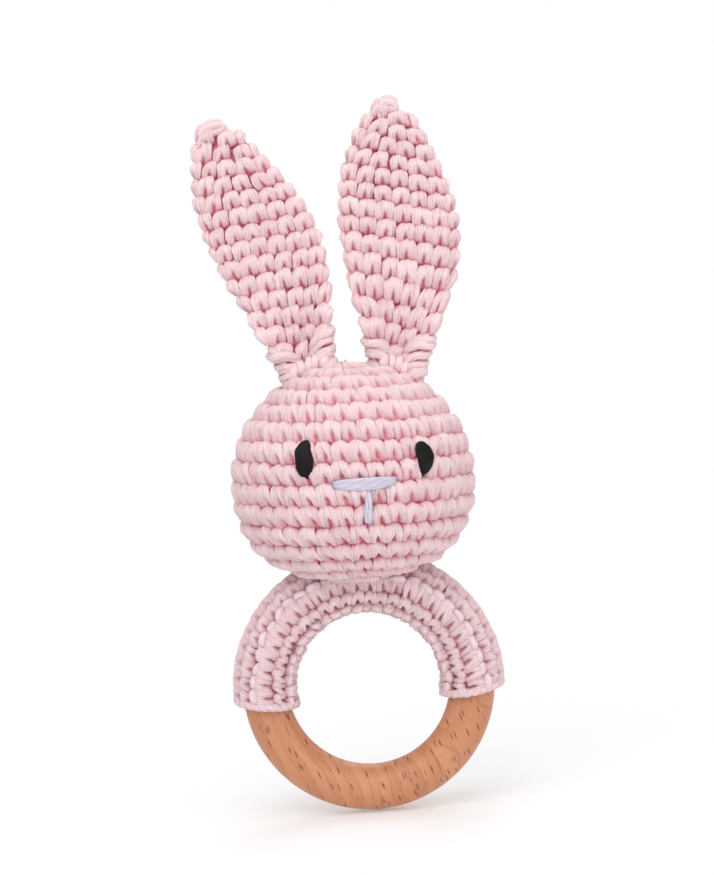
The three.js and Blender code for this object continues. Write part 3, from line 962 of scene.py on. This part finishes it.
def fibre_wad(node, material):
    """Loose filling: the CAD wad's shape, broken up into soft clumps that stay inside it."""
    source = NODES[node]
    mesh = bmesh.new()
    mesh.from_mesh(source.data)
    mesh.transform(source.matrix_world)
    bmesh.ops.remove_doubles(mesh, verts=mesh.verts, dist=1e-7)
    bmesh.ops.subdivide_edges(mesh, edges=mesh.edges, cuts=2, use_grid_fill=True)
    mesh.normal_update()
    for vert in mesh.verts:
        clump = noise.noise(vert.co * 330) + 0.5 * noise.noise(vert.co * 900)
        vert.co -= vert.normal * (0.25 + 0.35 * max(0.0, clump + 0.3)) * MM
    data = bpy.data.meshes.new(f"{node}_wad")
    mesh.to_mesh(data)
    mesh.free()
    data.polygons.foreach_set("use_smooth", [True] * len(data.polygons))
    dress(linked_object(f"{node}_wad", data), material, node, "head")


# ---- Face ----

# Outlines of the stitched face, as rows of (place along, one edge, other edge) in mm from a patch's middle.
EYE_LEFT = ((-4.3, -0.5, 0.2), (-3.2, -1.35, 1.3), (-2.0, -1.85, 1.9), (0.0, -2.1, 1.75), (2.0, -2.35, 1.2),
            (3.4, -1.6, 1.15), (4.2, -0.8, 0.7))
EYE_RIGHT = ((-3.6, -1.0, -0.5), (-2.7, -1.35, 0.65), (-1.6, -1.5, 1.65), (0.1, -1.55, 2.45),
             (1.7, -1.55, 2.4), (3.1, -1.5, 1.8), (4.1, -1.1, 0.9))
NOSE = ((-7.4, -0.15, 0.75), (-5.0, -0.85, 1.0), (-1.5, -1.3, 1.05), (2.0, -1.3, 1.0), (5.0, -0.95, 0.85),
        (7.0, -0.3, 0.75), (7.4, -0.05, 0.6))
MOUTH = ((-3.7, -0.4, -0.2), (-3.0, -0.7, 0.2), (-1.2, -0.85, 0.65), (2.0, -0.3, 0.65), (3.6, 0.1, 0.45))
TUCK = 1.4    # how far a thread's ends go down into the cloth, in mm


def satin(outline, count, upright, lift, dome, rounded=0.0):
    """Satin threads side by side in an outline, each as a shade and points: across, up and lift in mm, and
    thickness. rounded shortens the outer threads at the outline's last end."""
    outline = np.array(outline, float)
    along = np.linspace(outline[0, 0], outline[-1, 0], 15)
    one, other = (np.interp(along, outline[:, 0], outline[:, i]) for i in (1, 2))
    k = np.linspace(-1, 1, 15)
    thick = np.clip(np.abs(other - one) / count / 0.42, 0.4, 1.15)
    threads = []
    for i in range(count):
        f = (i + 0.5) / count
        offset = one + (other - one) * f
        crown = math.sqrt(max(0, 1 - (2 * f - 1) ** 2))
        height = lift + dome * crown * np.sqrt(1 - 0.8 * k ** 2) - TUCK * (np.abs(k) > 0.99)
        place = along - np.maximum(along, 0) * rounded * (2 * f - 1) ** 2
        pair = (offset, place) if upright else (place, offset)
        shade = 0.15 + 0.7 * ((i * 0.618 + 0.2) % 1)
        threads.append((shade, stacked(*pair, height, thick)))
    return threads


def face_threads(surface, node, threads, radius, material):
    """Threads stitched on the face in place of a CAD node. radius is in mm."""
    low, high = node_box(node)
    centre = (low + high) / 2
    turn0 = math.atan2(centre[0], -centre[1]) / (2 * math.pi)
    fine = np.linspace(0, 1, 26)
    patch = Patch()
    for shade, points in threads:
        t = np.linspace(0, 1, len(points))
        across, up, lift, thick = (np.interp(fine, t, points[:, i]) for i in range(4))
        v = surface.v_at_height(centre[2] - HEAD_Z + up * MM)
        u = turn0 + across * MM / surface.girth(v)
        lay_strand(patch, surface, u, v, radius * MM * thick, lift * MM, shade)
    name = f"{node.removesuffix('_stitch')}_satin"
    dress(patch.build(name), material, node, "head")


# ---- Build ----

pink_yarn = yarn_material("pink_yarn", pit_shade=linear(208, 40, 78), deep=linear(224, 118, 138),
                          mid=linear(232, 192, 199), light=linear(249, 224, 228))
mauve_yarn = yarn_material("mauve_yarn", pit_shade=linear(150, 58, 76), deep=linear(206, 138, 150),
                           mid=linear(229, 194, 201), light=linear(245, 220, 226))
black_thread = thread_material("black_thread", linear(5, 4, 4), linear(24, 21, 19), 0.4, 0.0, 0.18)
lilac_thread = thread_material("lilac_thread", linear(160, 153, 172), linear(226, 219, 234), 0.5, 0.1, 0.3)
fibre_fill = fill_material()
capsule_plastic = plastic_material("capsule_plastic", linear(236, 236, 230), 0.45)
bead_plastic = plastic_material("bead_plastic", linear(120, 150, 190), 0.2)

head_cloth = HeadSurface()
sleeve_cloth = SleeveSurface()
left_cloth = EarSurface("left", 63.5 * MM, 13.4 * MM, 0.17)
right_cloth = EarSurface("right", 64.6 * MM, 14.8 * MM, 0.03)

turned_ring(beech_material())
sleeve = sleeve_crochet(sleeve_cloth, mauve_yarn)
seam_lacing(sleeve_cloth, mauve_yarn)
neck_whips(head_cloth, mauve_yarn)
head_crochet(head_cloth, pink_yarn)
ear_crochet(left_cloth, (4.4, 4.5, 4.5, 4.4, 4.2, 3.8, 3.2), -0.2, 3.2 * MM, pink_yarn)
ear_crochet(right_cloth, (4.4, 4.8, 5.5, 5.0, 4.2, 3.7, 2.8), -0.1, 1.9 * MM, pink_yarn)
ear_whips(left_cloth, pink_yarn)
ear_whips(right_cloth, pink_yarn)

for node, threads, radius, material, slot in (
    ("eye_left", satin(EYE_LEFT, 9, True, 1.2, 0.75, 0.22), 0.38, black_thread, "black_thread"),
    ("eye_right", satin(EYE_RIGHT, 8, True, 1.2, 0.75, 0.22), 0.38, black_thread, "black_thread"),
    ("nose_stitch", satin(NOSE, 5, False, 1.5, 0.35), 0.42, lilac_thread, "lilac_thread"),
    ("mouth_stitch", satin(MOUTH, 2, True, 1.4, 0.25), 0.48, lilac_thread, "lilac_thread"),
):
    face_threads(head_cloth, node, threads, radius, material)

for node in ("stuffing_lower", "stuffing_upper"):
    fibre_wad(node, fibre_fill)
for node, source in NODES.items():
    if node.startswith("rattle_"):
        source.data.materials.clear()
        source.data.materials.append(bead_plastic if "bead" in node else capsule_plastic)


# ---- Studio ----

IMAGE_HEIGHT = 875
PIXELS_PER_MM = 4.22    # the photo's scale at the toy
CAMERA_ROLL = math.radians(-4.4)
FLOOR_R = 3.0


def studio_world():
    """A world that the camera sees as white, and that lights the toy softly."""
    n = Nodes("studio", "worlds")
    lit, seen = (n.add("ShaderNodeBackground", {0: WHITE, 1: power}).outputs[0] for power in (0.55, 1.0))
    to_camera = n.add("ShaderNodeLightPath").outputs["Is Camera Ray"]
    mixed = n.add("ShaderNodeMixShader", {0: to_camera, 1: lit, 2: seen})
    n.add("ShaderNodeOutputWorld", {0: mixed.outputs[0]})
    bpy.context.scene.world = n.owner


def pale_floor():
    """A round floor that fades to white."""
    n = Nodes("pale_floor")
    place = n.position()
    x, y, _ = n.split(place)
    far = n.scaled(n.math("SUBTRACT", n.length(x, y), 0.06), 4.0, 0.45, clamp=True)
    grain = n.noise(place, 400, 2)
    colour = n.mix(n.times(grain, 0.1), (0.96, 0.96, 0.96, 1), (0.9, 0.9, 0.9, 1))
    near = n.add("ShaderNodeBsdfPrincipled", {"Base Color": colour, "Roughness": 0.8})
    glow = n.add("ShaderNodeEmission", {0: WHITE, 1: 1.0})
    mixed = n.add("ShaderNodeMixShader", {0: far, 1: near.outputs[0], 2: glow.outputs[0]})
    n.add("ShaderNodeOutputMaterial", {0: mixed.outputs[0]})
    sides = 64
    a = np.arange(sides) * 2 * math.pi / sides
    points = stacked(FLOOR_R * np.cos(a), FLOOR_R * np.sin(a), -0.4 * MM)
    floor = mesh_object("floor", points, np.arange(sides), [sides], smooth=False)
    floor.data.materials.append(n.owner)
    return floor


def sink_with(turned, floor):
    """Lets the floor sink once the sleeve has turned past a quarter, as the head then hangs below the ring.
    The sleeve's own origin starts at the ring's foot, so its height tells how far it has turned."""
    sink = floor.constraints.new("TRANSFORM")
    sink.target = turned
    sink.map_from = sink.map_to = "LOCATION"
    sink.from_min_z, sink.from_max_z = RING_OUTER_R, 2 * RING_OUTER_R
    sink.to_min_z, sink.to_max_z = 0, 2 * RING_OUTER_R - CAD_BOX[1][2]


def soft_light(name, place, size, power, colour=(1, 1, 1)):
    """A round area light that faces the head."""
    light = bpy.data.lights.new(name, "AREA")
    light.shape, light.size, light.energy, light.color = "DISK", size, power, colour
    obj = linked_object(name, light)
    obj.location = place
    obj.rotation_euler = (Vector((0, 0, HEAD_Z)) - Vector(place)).to_track_quat("-Z", "Y").to_euler()


def photo_camera():
    """The camera, at the photo's viewing angle, tilt and scale."""
    camera = bpy.data.cameras.new("camera")
    obj = linked_object("camera", camera)
    eye = Vector((0.0017, -0.55, 0.112))
    aim = Vector((0.0017, 0, 0.0887))
    obj.location = eye
    obj.rotation_mode = "QUATERNION"
    obj.rotation_quaternion = (aim - eye).to_track_quat("-Z", "Y") @ Quaternion((0, 0, 1), CAMERA_ROLL)
    camera.sensor_width = 36
    camera.lens = 36 * (aim - eye).length / (IMAGE_HEIGHT / PIXELS_PER_MM * MM)
    camera.clip_start, camera.clip_end = 0.01, 20
    bpy.context.scene.camera = obj


bpy.context.scene.view_settings.view_transform = "Standard"
studio_world()
sink_with(sleeve, pale_floor())
soft_light("key", (-0.25, -0.6, 0.62), 0.7, 2.7, (1, 0.99, 0.98))
soft_light("fill", (0.35, -0.65, 0.2), 0.7, 1.7)
soft_light("top", (0.0, -0.12, 0.8), 0.6, 1.6)
soft_light("back", (0.1, 0.55, 0.55), 0.5, 1.0)
photo_camera()
